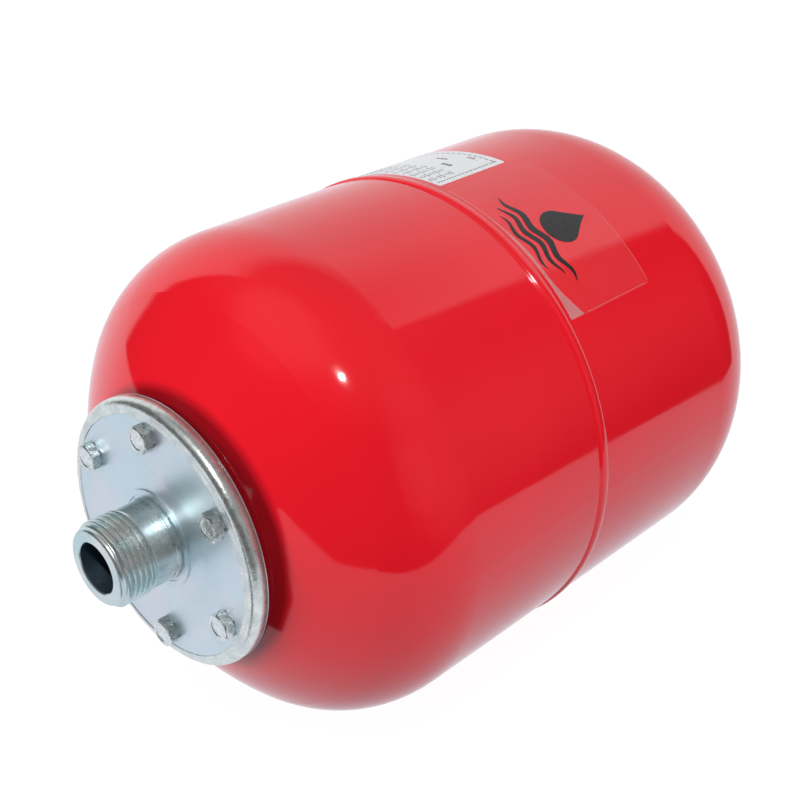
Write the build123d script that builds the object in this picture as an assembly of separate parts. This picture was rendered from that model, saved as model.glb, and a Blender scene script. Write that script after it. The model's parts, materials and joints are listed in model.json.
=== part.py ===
"""Membrane expansion vessel, 8 litre class, for heating and booster sets.

Frame: the vessel's axis is Y, the water connection points to -Y and +Z is up. The origin is
the centre of the flange cover's front face. All sizes are millimetres.
Angles round the axis are measured from +X towards +Z.
"""
from build123d import *
from math import asin, atan2, cos, degrees, radians, sin, sqrt, tan
import os

os.makedirs("parts", exist_ok=True)

# ---- pressed steel body ----
BODY_RADIUS = 100.0
SHEET = 1.2
CROWN_RADIUS = 124.0
KNUCKLE_RADIUS = 48.0
CYLINDER_LENGTH = 157.0
FRONT_CYLINDER = 70.0
NECK_RADIUS = 31.0
SEAT_MARGIN = 5.8
REAR_FLAT_MARGIN = 2.5

# ---- girth seam: the rear half steps inwards and slips into the front half ----
LAP_LENGTH = 8.0
LAP_CLEARANCE = 0.1
SEAM_STEP = 4.0
SEAM_WIDTH = 6.0
SEAM_RISE = 0.8

# ---- flange cover ----
COVER_THICKNESS = 3.0
COVER_OVERHANG = 6.0
RIM_BEVEL_WIDTH = 2.3
RIM_BEVEL_DROP = 0.45
RIM_FILLET = 3.2
RIM_INNER_FILLET = 0.6
RIM_GAP = 0.5
HUB_GAP = 1.1
HUB_LIP_WIDTH = 2.0
HUB_SLOPE_WIDTH = 7.6
HUB_SLOPE_RISE = 0.5
HUB_RISE = 1.2
HUB_RECESS_DEPTH = 0.6

# ---- G1 water connection ----
THREAD_MAJOR_RADIUS = 33.249 / 2
THREAD_DEPTH = 1.479
THREAD_PITCH = 2.309
THREAD_LAND = 0.45
THREAD_ROOT_LAND = 0.35
THREAD_CRESTS = 6
NIPPLE_REACH = 27.5
NIPPLE_CHAMFER = 1.7
FIRST_CREST = 2.9
NIPPLE_BORE_RADIUS = 10.0
NIPPLE_SHANK_RELIEF = 0.7245
NIPPLE_COLLAR_STEP = 0.4
NIPPLE_COLLAR_WIDTH = 2.8
NIPPLE_GROOVE_WIDTH = 0.7
NIPPLE_GROOVE_DEPTH = 0.5
NIPPLE_TAIL = 3.5
NIPPLE_WELD_LEG = 3.0

# ---- bladder ----
LIP_THICKNESS = 3.0
LIP_LAP = 7.0
BLADDER_WALL = 2.0
BLADDER_NECK_CLEARANCE = 0.4
BLADDER_NECK_LENGTH = 16.0
BLADDER_FLARE_RADIUS = 30.0
BLADDER_SHOULDER_RADIUS = 36.0
BLADDER_SIDE_GAP = 26.0
BLADDER_END_GAP = 53.6

# ---- cover bolts, M6, and the tapped ring that they pull on ----
BOLT_COUNT = 6
BOLT_MARGIN = 4.0
BOLT_START_ANGLE = 32.0
BOLT_RADIUS = 3.0
BOLT_LENGTH = 16.0
BOLT_HEAD_FLATS = 10.0
BOLT_HEAD_HEIGHT = 4.0
BOLT_HEAD_CHAMFER = 0.7
BOLT_HEAD_DISH = 0.35
BOLT_HEAD_TURN = 17.0
BOLT_HOLE_CLEARANCE = 0.3
BOLT_THREAD_PLAY = 0.05
BACKING_RING_THICKNESS = 5.0
BACKING_RING_STEP = 3.0
BACKING_RING_MARGIN = 1.2
BACKING_WELD_LEG = 2.0

# ---- air valve: welded boss, brass stem and its sealing washer ----
BOSS_RADIUS = 13.0
BOSS_HEIGHT = 4.5
BOSS_CHAMFER = 0.5
SPIGOT_RADIUS = 9.0
SPIGOT_TAIL = 3.0
BOSS_WELD_LEG = 2.2
STEM_ROOT_RADIUS = 4.85
STEM_ROOT_PLAY = 0.05
STEM_ROOT_LENGTH = 7.0
STEM_SEAL_THICKNESS = 0.8
STEM_SEAL_RADIUS = 7.2
STEM_SEAL_CLEARANCE = 0.1
STEM_HEX_FLATS = 13.0
STEM_HEX_HEIGHT = 3.5
STEM_HEX_CHAMFER = 0.6
STEM_LENGTH = 10.0
STEM_RADIUS = 3.85
STEM_THREAD_DEPTH = 0.4
STEM_LAND = 0.12
STEM_PITCH = 0.79375
STEM_THREADS = 8
CORE_BORE_RADIUS = 2.6
AIR_BORE_RADIUS = 1.85

# ---- valve core ----
CORE_PLAY = 0.05
CORE_RECESS = 0.8
CORE_HEAD_LENGTH = 5.0
CORE_BARREL_RADIUS = 1.55
CORE_BARREL_LENGTH = 8.0
CORE_BORE = 1.25
CORE_LIP = 0.9
CORE_LIP_BORE = 0.75
CORE_SEAL_LENGTH = 1.6
PIN_RADIUS = 0.5
PIN_RECESS = 0.4
PIN_COLLAR_RADIUS = 1.05
PIN_COLLAR_LENGTH = 0.6
POPPET_RADIUS = 1.4
POPPET_LENGTH = 1.2
POPPET_SEAL = 0.6
SPRING_WIRE = 0.22
SPRING_TURNS = 7
SPRING_LENGTH = 6.0
SPRING_SIDE_GAP = 0.12

# ---- plastic caps ----
DUST_CAP_RADIUS = 5.4
DUST_CAP_SKIRT = 5.9
DUST_CAP_ROOF = 1.3
DUST_CAP_CHAMFER = 0.7
DUST_CAP_RIBS = 18
DUST_CAP_RIB_RADIUS = 0.35
CAP_THREAD_PLAY = 0.06
CAP_SEAL_THICKNESS = 0.9
CAP_SEAL_GAP = 0.05
CAP_SEAL_MARGIN = 0.3
CAP_LIFT = 7.5 * STEM_PITCH
GUARD_WALL = 1.8
GUARD_PLAY = 0.05
GUARD_ROOF = 1.8
GUARD_CORNER = 3.0
GUARD_FOOT_GAP = 0.4
GUARD_HEADROOM = 1.0
GUARD_RIBS = 24
GUARD_RIB_RADIUS = 0.6
GUARD_RIB_MARGIN = 4.0

# ---- stickers on the body ----
FILM_THICKNESS = 0.12
FILM_OFFSET = 7.0
FILM_WIDTH = 50.0
FILM_START_ANGLE = 40.0
FILM_END_ANGLE = 83.0
LABEL_THICKNESS = 0.15
LABEL_OFFSET = 8.5
LABEL_WIDTH = 40.0
LABEL_START_ANGLE = 86.0
LABEL_END_ANGLE = 120.0

# ---- radii that follow from these ----
LIP_RADIUS = NECK_RADIUS + LIP_LAP
BOLT_CIRCLE_RADIUS = LIP_RADIUS + BOLT_MARGIN
SEAT_FLAT_RADIUS = BOLT_CIRCLE_RADIUS + SEAT_MARGIN
COVER_RADIUS = SEAT_FLAT_RADIUS + COVER_OVERHANG
REAR_FLAT_RADIUS = BOSS_RADIUS + REAR_FLAT_MARGIN
THREAD_ROOT_RADIUS = THREAD_MAJOR_RADIUS - THREAD_DEPTH
NIPPLE_SHANK_RADIUS = THREAD_MAJOR_RADIUS - NIPPLE_SHANK_RELIEF
NIPPLE_COLLAR_RADIUS = NIPPLE_SHANK_RADIUS + NIPPLE_COLLAR_STEP
HUB_RECESS_RADIUS = NIPPLE_COLLAR_RADIUS + HUB_GAP
HUB_LIP_RADIUS = HUB_RECESS_RADIUS + HUB_LIP_WIDTH
HUB_RADIUS = HUB_LIP_RADIUS + HUB_SLOPE_WIDTH
BLADDER_RADIUS = BODY_RADIUS - BLADDER_SIDE_GAP

# ---- places along the axis ----
SEAT_Y = COVER_THICKNESS + LIP_THICKNESS
CENTRE_DROP = sqrt((CROWN_RADIUS - KNUCKLE_RADIUS) ** 2 - (BODY_RADIUS - KNUCKLE_RADIUS) ** 2)
FRONT_CROWN_Y = SEAT_Y + sqrt(CROWN_RADIUS**2 - SEAT_FLAT_RADIUS**2)
FRONT_TANGENT_Y = FRONT_CROWN_Y - CENTRE_DROP
REAR_TANGENT_Y = FRONT_TANGENT_Y + CYLINDER_LENGTH
REAR_CROWN_Y = REAR_TANGENT_Y - CENTRE_DROP
REAR_FLAT_Y = REAR_CROWN_Y + sqrt(CROWN_RADIUS**2 - REAR_FLAT_RADIUS**2)
SEAM_Y = FRONT_TANGENT_Y + FRONT_CYLINDER
BOSS_TOP = REAR_FLAT_Y + BOSS_HEIGHT
HEX_BASE = BOSS_TOP + STEM_SEAL_THICKNESS
STEM_BASE = HEX_BASE + STEM_HEX_HEIGHT
STEM_TOP = STEM_BASE + STEM_LENGTH
CORE_TOP = STEM_TOP - CORE_RECESS
CORE_STEP = CORE_TOP - CORE_HEAD_LENGTH
BARREL_END = CORE_STEP - CORE_BARREL_LENGTH
CAP_ROOF = STEM_TOP + CAP_SEAL_GAP + CAP_SEAL_THICKNESS
CAP_TOP = CAP_ROOF + DUST_CAP_ROOF
GUARD_ROOF_Y = CAP_TOP + CAP_LIFT + GUARD_HEADROOM


def turned(*outline):
    """A solid of revolution about Y. The outline is points (radius, y) and edges, in order."""
    edges = []
    start = last = None
    for item in outline:
        if isinstance(item, tuple):
            first = following = Vector(*item)
        else:
            first, following = item @ 0, item @ 1
        if last is not None and (first - last).length > 1e-6:
            edges.append(Line(last, first))
        if not isinstance(item, tuple):
            edges.append(item)
        start = first if start is None else start
        last = following
    if (start - last).length > 1e-6:
        edges.append(Line(last, start))
    return revolve(make_face(edges), axis=Axis.Y).solid()


def ring(inner, outer, low, high):
    """A plain ring about Y."""
    return turned((inner, low), (outer, low), (outer, high), (inner, high))


def rod(radius, low, high):
    """A plain round bar on the axis."""
    return turned((0, low), (radius, low), (radius, high), (0, high))


def arc(centre, radius, start, end):
    """A circular arc in the outline's plane, walked from start to end, in degrees."""
    return CenterArc(centre, radius, start, end - start)


def dome_arcs(inset, flat_y, crown_y, tangent_y, way, outwards=True):
    """The crown and knuckle of one end, between its flat and the cylinder, a depth under its face."""
    crown = (0, crown_y), CROWN_RADIUS - inset
    knuckle = (BODY_RADIUS - KNUCKLE_RADIUS, tangent_y), KNUCKLE_RADIUS - inset
    flat = degrees(asin((flat_y - crown_y) / crown[1]))
    join = way * degrees(atan2(CENTRE_DROP, BODY_RADIUS - KNUCKLE_RADIUS))
    if outwards:
        return arc(*crown, flat, join), arc(*knuckle, join, 0)
    return arc(*knuckle, 0, join), arc(*crown, join, flat)


def front_arcs(inset, outwards=True):
    """The front end's arcs, a depth under its outer face."""
    return dome_arcs(inset, SEAT_Y + inset, FRONT_CROWN_Y, FRONT_TANGENT_Y, -1, outwards)


def rear_arcs(inset, outwards=True):
    """The rear end's arcs, a depth under its outer face."""
    return dome_arcs(inset, REAR_FLAT_Y - inset, REAR_CROWN_Y, REAR_TANGENT_Y, 1, outwards)


def front_dome_y(radius):
    """Where the front end's outer face lies at a given radius."""
    return FRONT_CROWN_Y - sqrt(CROWN_RADIUS**2 - radius**2)


def sector(inner, outer, low, high, start, end):
    """Part of a ring about Y, between two angles."""
    outline = Polyline((inner, low), (outer, low), (outer, high), (inner, high), close=True)
    swept = revolve(make_face(outline), axis=Axis.Y, revolution_arc=end - start)
    return swept.rotate(Axis.Y, -end).solid()


def thread_outline(root, crest, land, root_land, pitch, count, first):
    """Ring threads towards +Y: flat crests with grooves between, from the first crest's middle."""
    flank = (pitch - land - root_land) / 2
    points = []
    for turn in range(count):
        middle = first + turn * pitch
        points += [
            (root, middle - land / 2 - flank),
            (crest, middle - land / 2),
            (crest, middle + land / 2),
            (root, middle + land / 2 + flank),
        ]
    return points


def bolt_places():
    """Where the cover bolts stand on their circle."""
    for index in range(BOLT_COUNT):
        angle = radians(BOLT_START_ANGLE + index * 360 / BOLT_COUNT)
        yield Pos(BOLT_CIRCLE_RADIUS * cos(angle), 0, BOLT_CIRCLE_RADIUS * sin(angle))


def bolt_holes(radius, low, high):
    """Cutters for the bolt circle."""
    bar = rod(radius, low, high)
    return [place * bar for place in bolt_places()]


def front_shell():
    """Front half: neck opening, flat seat with bolt holes, dome and straight wall."""
    body = turned(
        (NECK_RADIUS, SEAT_Y),
        *front_arcs(0),
        (BODY_RADIUS, SEAM_Y),
        (BODY_RADIUS - SHEET, SEAM_Y),
        *front_arcs(SHEET, outwards=False),
        (NECK_RADIUS, SEAT_Y + SHEET),
    )
    return body - bolt_holes(BOLT_RADIUS + BOLT_HOLE_CLEARANCE, SEAT_Y - SHEET, SEAT_Y + 2 * SHEET)


def rear_shell():
    """Rear half: stepped lip that slips into the front half, straight wall and dome."""
    lip_radius = BODY_RADIUS - SHEET - LAP_CLEARANCE
    step_end = SEAM_Y + SEAM_STEP
    return turned(
        (lip_radius, SEAM_Y - LAP_LENGTH),
        (lip_radius, SEAM_Y),
        (BODY_RADIUS, step_end),
        *rear_arcs(0, outwards=False),
        (SPIGOT_RADIUS, REAR_FLAT_Y),
        (SPIGOT_RADIUS, REAR_FLAT_Y - SHEET),
        *rear_arcs(SHEET),
        (BODY_RADIUS - SHEET, step_end),
        (lip_radius - SHEET, SEAM_Y),
        (lip_radius - SHEET, SEAM_Y - LAP_LENGTH),
    )


def seam_weld():
    """The bead that fills the step between the halves and stands a little proud."""
    top = BODY_RADIUS + SEAM_RISE
    middle = SEAM_Y + SEAM_WIDTH / 2
    bead = ThreePointArc(
        (BODY_RADIUS, SEAM_Y + SEAM_WIDTH),
        (top, middle),
        (BODY_RADIUS, SEAM_Y),
    )
    return turned(
        (BODY_RADIUS, SEAM_Y),
        (BODY_RADIUS - SHEET - LAP_CLEARANCE, SEAM_Y),
        (BODY_RADIUS, SEAM_Y + SEAM_STEP),
        bead,
    )


def backing_ring():
    """Tapped ring behind the front seat, which the cover bolts pull on."""
    low = SEAT_Y + SHEET
    inner = NECK_RADIUS + BACKING_RING_STEP
    body = ring(inner, backing_ring_radius(), low, low + BACKING_RING_THICKNESS)
    return body - bolt_holes(BOLT_RADIUS + BOLT_THREAD_PLAY, SEAT_Y, low + 2 * BACKING_RING_THICKNESS)


def backing_ring_radius():
    """The ring lies on the flat inside the seat, with room for its weld."""
    flat = sqrt((CROWN_RADIUS - SHEET) ** 2 - (FRONT_CROWN_Y - SEAT_Y - SHEET) ** 2)
    return flat - BACKING_RING_MARGIN


def backing_ring_weld():
    """Fillet weld round the backing ring."""
    edge = backing_ring_radius()
    low = SEAT_Y + SHEET
    return turned(
        (edge, low), (edge + BACKING_RING_MARGIN, low), (edge, low + BACKING_WELD_LEG)
    )


def bladder():
    """Rubber bag: a lip clamped under the cover, a neck, a flared shoulder and a round end."""
    neck = NECK_RADIUS - BLADDER_NECK_CLEARANCE
    flare = (neck + BLADDER_FLARE_RADIUS, COVER_THICKNESS + BLADDER_NECK_LENGTH)
    across = BLADDER_RADIUS - BLADDER_SHOULDER_RADIUS - flare[0]
    rise = sqrt((BLADDER_FLARE_RADIUS + BLADDER_SHOULDER_RADIUS) ** 2 - across**2)
    shoulder = (BLADDER_RADIUS - BLADDER_SHOULDER_RADIUS, flare[1] + rise)
    turn = degrees(atan2(rise, across))
    end = (0, REAR_FLAT_Y - BLADDER_END_GAP - BLADDER_RADIUS)
    inner = BLADDER_WALL
    return turned(
        (neck - inner, COVER_THICKNESS),
        (LIP_RADIUS, COVER_THICKNESS),
        (LIP_RADIUS, SEAT_Y),
        (neck, SEAT_Y),
        arc(flare, BLADDER_FLARE_RADIUS, 180, turn),
        arc(shoulder, BLADDER_SHOULDER_RADIUS, turn - 180, 0),
        arc(end, BLADDER_RADIUS, 0, 90),
        arc(end, BLADDER_RADIUS - inner, 90, 0),
        arc(shoulder, BLADDER_SHOULDER_RADIUS - inner, 0, turn - 180),
        arc(flare, BLADDER_FLARE_RADIUS + inner, turn, 180),
    )


def flange_cover():
    """Cover plate: bevelled and turned-back rim, six bolt holes, raised hub round the nipple."""
    rim_inner = COVER_RADIUS - COVER_THICKNESS
    rim_back = front_dome_y(rim_inner) - RIM_GAP
    corner = (COVER_RADIUS - RIM_FILLET, RIM_BEVEL_DROP + RIM_FILLET)
    inner_corner = (rim_inner - RIM_INNER_FILLET, COVER_THICKNESS + RIM_INNER_FILLET)
    recess_floor = HUB_RECESS_DEPTH - HUB_RISE
    body = turned(
        (NIPPLE_SHANK_RADIUS, recess_floor),
        (HUB_RECESS_RADIUS, recess_floor),
        (HUB_RECESS_RADIUS, -HUB_RISE),
        (HUB_LIP_RADIUS, -HUB_RISE),
        (HUB_LIP_RADIUS, -HUB_SLOPE_RISE),
        (HUB_RADIUS, 0),
        (corner[0] - RIM_BEVEL_WIDTH, 0),
        arc(corner, RIM_FILLET, -90, 0),
        (COVER_RADIUS, rim_back),
        (rim_inner, rim_back),
        arc(inner_corner, RIM_INNER_FILLET, 0, -90),
        (NIPPLE_SHANK_RADIUS, COVER_THICKNESS),
    )
    return body - bolt_holes(BOLT_RADIUS + BOLT_HOLE_CLEARANCE, -HUB_RISE, 2 * COVER_THICKNESS)


def water_nipple():
    """G1 male connection: chamfered mouth, thread, plain shank, groove and seating collar."""
    mouth = -NIPPLE_REACH
    collar_base = HUB_RECESS_DEPTH - HUB_RISE
    collar = collar_base - NIPPLE_COLLAR_WIDTH
    groove = collar - NIPPLE_GROOVE_WIDTH
    groove_radius = NIPPLE_SHANK_RADIUS - NIPPLE_GROOVE_DEPTH
    thread = thread_outline(
        THREAD_ROOT_RADIUS,
        THREAD_MAJOR_RADIUS,
        THREAD_LAND,
        THREAD_ROOT_LAND,
        THREAD_PITCH,
        THREAD_CRESTS,
        mouth + FIRST_CREST,
    )
    thread_end = thread[-1][1] + (NIPPLE_SHANK_RADIUS - THREAD_ROOT_RADIUS)
    tail = COVER_THICKNESS + NIPPLE_TAIL
    return turned(
        (NIPPLE_BORE_RADIUS, mouth),
        (THREAD_MAJOR_RADIUS - NIPPLE_CHAMFER, mouth),
        *thread,
        (NIPPLE_SHANK_RADIUS, thread_end),
        (NIPPLE_SHANK_RADIUS, groove),
        (groove_radius, groove),
        (groove_radius, collar),
        (NIPPLE_COLLAR_RADIUS, collar),
        (NIPPLE_COLLAR_RADIUS, collar_base),
        (NIPPLE_SHANK_RADIUS, collar_base),
        (NIPPLE_SHANK_RADIUS, tail),
        (NIPPLE_BORE_RADIUS, tail),
    )


def nipple_weld():
    """Fillet weld on the cover's inner face round the nipple's tail."""
    edge = NIPPLE_SHANK_RADIUS
    return turned(
        (edge, COVER_THICKNESS),
        (edge + NIPPLE_WELD_LEG, COVER_THICKNESS),
        (edge, COVER_THICKNESS + NIPPLE_WELD_LEG),
    )


def hexagon(flats, low, high, chamfer_size):
    """A hexagon prism along Y, with the corners turned off at both ends it shows."""
    corner = flats / sqrt(3)
    prism = extrude(Plane.XZ.offset(-high) * RegularPolygon(corner, 6), amount=high - low)
    drop = chamfer_size * tan(radians(30))
    envelope = turned(
        (0, low),
        (corner - chamfer_size, low),
        (corner, low + drop),
        (corner, high),
        (0, high),
    )
    return (prism & envelope).solid()


def bolt():
    """One M6 hexagon bolt through the cover, its head on the water side and dished on top."""
    head = hexagon(BOLT_HEAD_FLATS, -BOLT_HEAD_HEIGHT, 0, BOLT_HEAD_CHAMFER)
    dish_radius = BOLT_HEAD_FLATS / 2 - 2 * BOLT_HEAD_CHAMFER
    dish = turned(
        (0, -BOLT_HEAD_HEIGHT),
        (dish_radius, -BOLT_HEAD_HEIGHT),
        (dish_radius - BOLT_HEAD_DISH, BOLT_HEAD_DISH - BOLT_HEAD_HEIGHT),
        (0, BOLT_HEAD_DISH - BOLT_HEAD_HEIGHT),
    )
    tip = BOLT_RADIUS / 4
    shank = turned(
        (0, -BOLT_HEAD_DISH),
        (BOLT_RADIUS, -BOLT_HEAD_DISH),
        (BOLT_RADIUS, BOLT_LENGTH - tip),
        (BOLT_RADIUS - tip, BOLT_LENGTH),
        (0, BOLT_LENGTH),
    )
    return (head - dish + shank).solid()


def cover_bolts():
    """The six cover bolts, each left at its own turn."""
    one = bolt()
    turns = [Rot(0, index * BOLT_HEAD_TURN, 0) for index in range(BOLT_COUNT)]
    return Compound([place * turn * one for place, turn in zip(bolt_places(), turns)])


def valve_boss():
    """Socket welded in the rear pole. The guard cap grips its rim and the stem screws into it."""
    bore = STEM_ROOT_RADIUS + STEM_ROOT_PLAY
    tail = REAR_FLAT_Y - SHEET - SPIGOT_TAIL
    return turned(
        (bore, tail),
        (SPIGOT_RADIUS, tail),
        (SPIGOT_RADIUS, REAR_FLAT_Y),
        (BOSS_RADIUS, REAR_FLAT_Y),
        (BOSS_RADIUS, BOSS_TOP - BOSS_CHAMFER),
        (BOSS_RADIUS - BOSS_CHAMFER, BOSS_TOP),
        (bore, BOSS_TOP),
    )


def valve_boss_weld():
    """Fillet weld round the boss's spigot, inside the vessel."""
    face = REAR_FLAT_Y - SHEET
    return turned(
        (SPIGOT_RADIUS, face),
        (SPIGOT_RADIUS + BOSS_WELD_LEG, face),
        (SPIGOT_RADIUS, face - BOSS_WELD_LEG),
    )


def valve_stem():
    """Brass air valve body: threaded root, hexagon, cap thread and stepped bore for the core."""
    root = STEM_RADIUS - STEM_THREAD_DEPTH
    first = STEM_TOP - STEM_PITCH * (STEM_THREADS - 0.5)
    thread = thread_outline(
        root, STEM_RADIUS, STEM_LAND, STEM_LAND, STEM_PITCH, STEM_THREADS, first
    )
    seal_step = CORE_STEP - CORE_SEAL_LENGTH
    root_end = BOSS_TOP - STEM_ROOT_LENGTH
    body = turned(
        (AIR_BORE_RADIUS, root_end),
        (STEM_ROOT_RADIUS, root_end),
        (STEM_ROOT_RADIUS, HEX_BASE),
        (root, HEX_BASE),
        *thread,
        (root, STEM_TOP),
        (CORE_BORE_RADIUS, STEM_TOP),
        (CORE_BORE_RADIUS, seal_step),
        (AIR_BORE_RADIUS, seal_step),
    )
    nut = hexagon(STEM_HEX_FLATS, HEX_BASE, STEM_BASE, STEM_HEX_CHAMFER)
    bore = rod(STEM_RADIUS - 2 * STEM_THREAD_DEPTH, HEX_BASE, STEM_BASE)
    return (body + (nut - bore)).solid()


def stem_seal():
    """Flat sealing washer between the boss and the stem's hexagon."""
    return ring(STEM_ROOT_RADIUS + STEM_SEAL_CLEARANCE, STEM_SEAL_RADIUS, BOSS_TOP, HEX_BASE)


def valve_core_body():
    """Screwed-in core: a head in the stem's bore and a barrel that the poppet closes."""
    head = CORE_BORE_RADIUS - CORE_PLAY
    lip = BARREL_END + CORE_LIP
    return turned(
        (CORE_LIP_BORE, BARREL_END),
        (CORE_BARREL_RADIUS, BARREL_END),
        (CORE_BARREL_RADIUS, CORE_STEP),
        (head, CORE_STEP),
        (head, CORE_TOP),
        (CORE_BORE, CORE_TOP),
        (CORE_BORE, lip),
        (CORE_LIP_BORE, lip),
    )


def core_seal():
    """Ring that seals the core's barrel on the step in the stem's bore."""
    outer = CORE_BORE_RADIUS - CORE_PLAY
    return ring(CORE_BARREL_RADIUS, outer, CORE_STEP - CORE_SEAL_LENGTH, CORE_STEP)


def valve_pin():
    """Valve pin with the poppet at its inner end and the spring's collar part way up."""
    seal = BARREL_END - POPPET_SEAL
    poppet = seal - POPPET_LENGTH
    collar = spring_end()
    return turned(
        (0, poppet),
        (POPPET_RADIUS, poppet),
        (POPPET_RADIUS, seal),
        (PIN_RADIUS, seal),
        (PIN_RADIUS, collar),
        (PIN_COLLAR_RADIUS, collar),
        (PIN_COLLAR_RADIUS, collar + PIN_COLLAR_LENGTH),
        (PIN_RADIUS, collar + PIN_COLLAR_LENGTH),
        (PIN_RADIUS, STEM_TOP - PIN_RECESS),
        (0, STEM_TOP - PIN_RECESS),
    )


def poppet_seal():
    """Rubber washer that closes on the barrel's end."""
    return ring(PIN_RADIUS, POPPET_RADIUS, BARREL_END - POPPET_SEAL, BARREL_END)


def spring_start():
    """The barrel's lip, where the valve spring stands."""
    return BARREL_END + CORE_LIP


def spring_end():
    """Where the valve spring meets the pin's collar."""
    return spring_start() + SPRING_LENGTH


def valve_spring():
    """Coil spring inside the barrel, between its lip and the pin's collar."""
    height = SPRING_LENGTH - SPRING_WIRE
    radius = CORE_BORE - SPRING_SIDE_GAP - SPRING_WIRE / 2
    path = Helix(pitch=height / SPRING_TURNS, height=height, radius=radius)
    section = Plane(origin=path @ 0, z_dir=path % 0) * Circle(SPRING_WIRE / 2)
    coil = sweep(section, path=path, is_frenet=True)
    return (Pos(0, spring_start() + SPRING_WIRE / 2, 0) * Rot(-90, 0, 0) * coil).solid()


def ribbed(body, radius, rib_radius, count, low, high):
    """Add grip ribs along Y round a cap."""
    bar = rod(rib_radius, low, high)
    for index in range(count):
        angle = radians(index * 360 / count)
        body += Pos(radius * cos(angle), 0, radius * sin(angle)) * bar
    return body.solid()


def dust_cap():
    """Small plastic cap screwed on the stem."""
    bore = STEM_RADIUS + CAP_THREAD_PLAY
    skirt = STEM_TOP - DUST_CAP_SKIRT
    body = turned(
        (bore, skirt),
        (DUST_CAP_RADIUS, skirt),
        (DUST_CAP_RADIUS, CAP_TOP - DUST_CAP_CHAMFER),
        (DUST_CAP_RADIUS - DUST_CAP_CHAMFER, CAP_TOP),
        (0, CAP_TOP),
        (0, CAP_ROOF),
        (bore, CAP_ROOF),
    )
    ribs = (skirt + DUST_CAP_CHAMFER, CAP_TOP - 2 * DUST_CAP_CHAMFER)
    return ribbed(body, DUST_CAP_RADIUS, DUST_CAP_RIB_RADIUS, DUST_CAP_RIBS, *ribs)


def dust_cap_seal():
    """Rubber disc under the dust cap's roof."""
    return rod(STEM_RADIUS - CAP_SEAL_MARGIN, STEM_TOP + CAP_SEAL_GAP, CAP_ROOF)


def guard_cap():
    """Tall plastic cap pushed over the boss, which shields the whole air valve."""
    inner = BOSS_RADIUS + GUARD_PLAY
    outer = inner + GUARD_WALL
    foot = REAR_FLAT_Y + GUARD_FOOT_GAP
    top = GUARD_ROOF_Y + GUARD_ROOF
    body = turned(
        (inner, foot),
        (outer, foot),
        arc((outer - GUARD_CORNER, top - GUARD_CORNER), GUARD_CORNER, 0, 90),
        (0, top),
        (0, GUARD_ROOF_Y),
        (inner, GUARD_ROOF_Y),
    )
    ribs = (foot + GUARD_RIB_MARGIN, top - GUARD_CORNER - GUARD_RIB_RADIUS)
    return ribbed(body, outer, GUARD_RIB_RADIUS, GUARD_RIBS, *ribs)


def data_label():
    """Paper data label on the rear half."""
    low = SEAM_Y + LABEL_OFFSET
    reach = (BODY_RADIUS, BODY_RADIUS + LABEL_THICKNESS, low, low + LABEL_WIDTH)
    return sector(*reach, LABEL_START_ANGLE, LABEL_END_ANGLE)


def picture_film():
    """Clear film with a printed sign on the rear half."""
    low = SEAM_Y + FILM_OFFSET
    reach = (BODY_RADIUS, BODY_RADIUS + FILM_THICKNESS, low, low + FILM_WIDTH)
    return sector(*reach, FILM_START_ANGLE, FILM_END_ANGLE)


MAKERS = (
    front_shell,
    rear_shell,
    seam_weld,
    backing_ring,
    backing_ring_weld,
    bladder,
    flange_cover,
    water_nipple,
    nipple_weld,
    cover_bolts,
    valve_boss,
    valve_boss_weld,
    valve_stem,
    stem_seal,
    valve_core_body,
    core_seal,
    valve_pin,
    poppet_seal,
    valve_spring,
    dust_cap,
    dust_cap_seal,
    guard_cap,
    data_label,
    picture_film,
)

for maker in MAKERS:
    export_step(maker(), f"parts/{maker.__name__}.step")
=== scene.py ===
"""Looks of a membrane expansion vessel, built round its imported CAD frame.

Frame: the vessel's axis is Y, the water connection points to -Y and +Z is up. Lengths are metres
and MM turns millimetres into them. Angles round the axis run from +X towards +Z.
"""
import json
from math import asin, ceil, cos, degrees, hypot, pi, radians, sin, sqrt, tan

import bmesh
import bpy
from mathutils import Matrix, Vector


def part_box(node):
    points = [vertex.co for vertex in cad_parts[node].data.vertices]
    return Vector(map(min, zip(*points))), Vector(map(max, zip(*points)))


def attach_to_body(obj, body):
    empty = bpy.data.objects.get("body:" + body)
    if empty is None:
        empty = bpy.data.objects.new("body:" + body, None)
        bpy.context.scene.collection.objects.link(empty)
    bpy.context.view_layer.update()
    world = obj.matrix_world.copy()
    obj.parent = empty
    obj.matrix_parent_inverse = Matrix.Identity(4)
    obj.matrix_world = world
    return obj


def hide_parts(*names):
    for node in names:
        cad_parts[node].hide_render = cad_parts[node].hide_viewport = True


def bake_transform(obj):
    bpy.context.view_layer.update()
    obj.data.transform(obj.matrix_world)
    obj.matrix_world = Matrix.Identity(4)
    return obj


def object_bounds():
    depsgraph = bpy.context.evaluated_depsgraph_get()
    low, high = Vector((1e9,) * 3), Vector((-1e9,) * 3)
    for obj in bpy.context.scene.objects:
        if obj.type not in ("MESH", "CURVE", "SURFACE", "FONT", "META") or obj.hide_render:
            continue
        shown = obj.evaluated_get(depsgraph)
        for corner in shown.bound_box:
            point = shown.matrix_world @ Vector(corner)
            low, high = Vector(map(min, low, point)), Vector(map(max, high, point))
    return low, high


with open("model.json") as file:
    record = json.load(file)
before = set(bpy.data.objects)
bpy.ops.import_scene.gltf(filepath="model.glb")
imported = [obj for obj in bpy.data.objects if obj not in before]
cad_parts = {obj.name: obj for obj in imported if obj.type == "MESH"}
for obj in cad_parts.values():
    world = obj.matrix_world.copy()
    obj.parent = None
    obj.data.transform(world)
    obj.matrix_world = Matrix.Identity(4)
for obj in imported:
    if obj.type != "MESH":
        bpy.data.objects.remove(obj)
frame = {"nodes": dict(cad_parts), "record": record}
cad_low, cad_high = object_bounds()

MM = 0.001
FULL_TURN = 2 * pi

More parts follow.
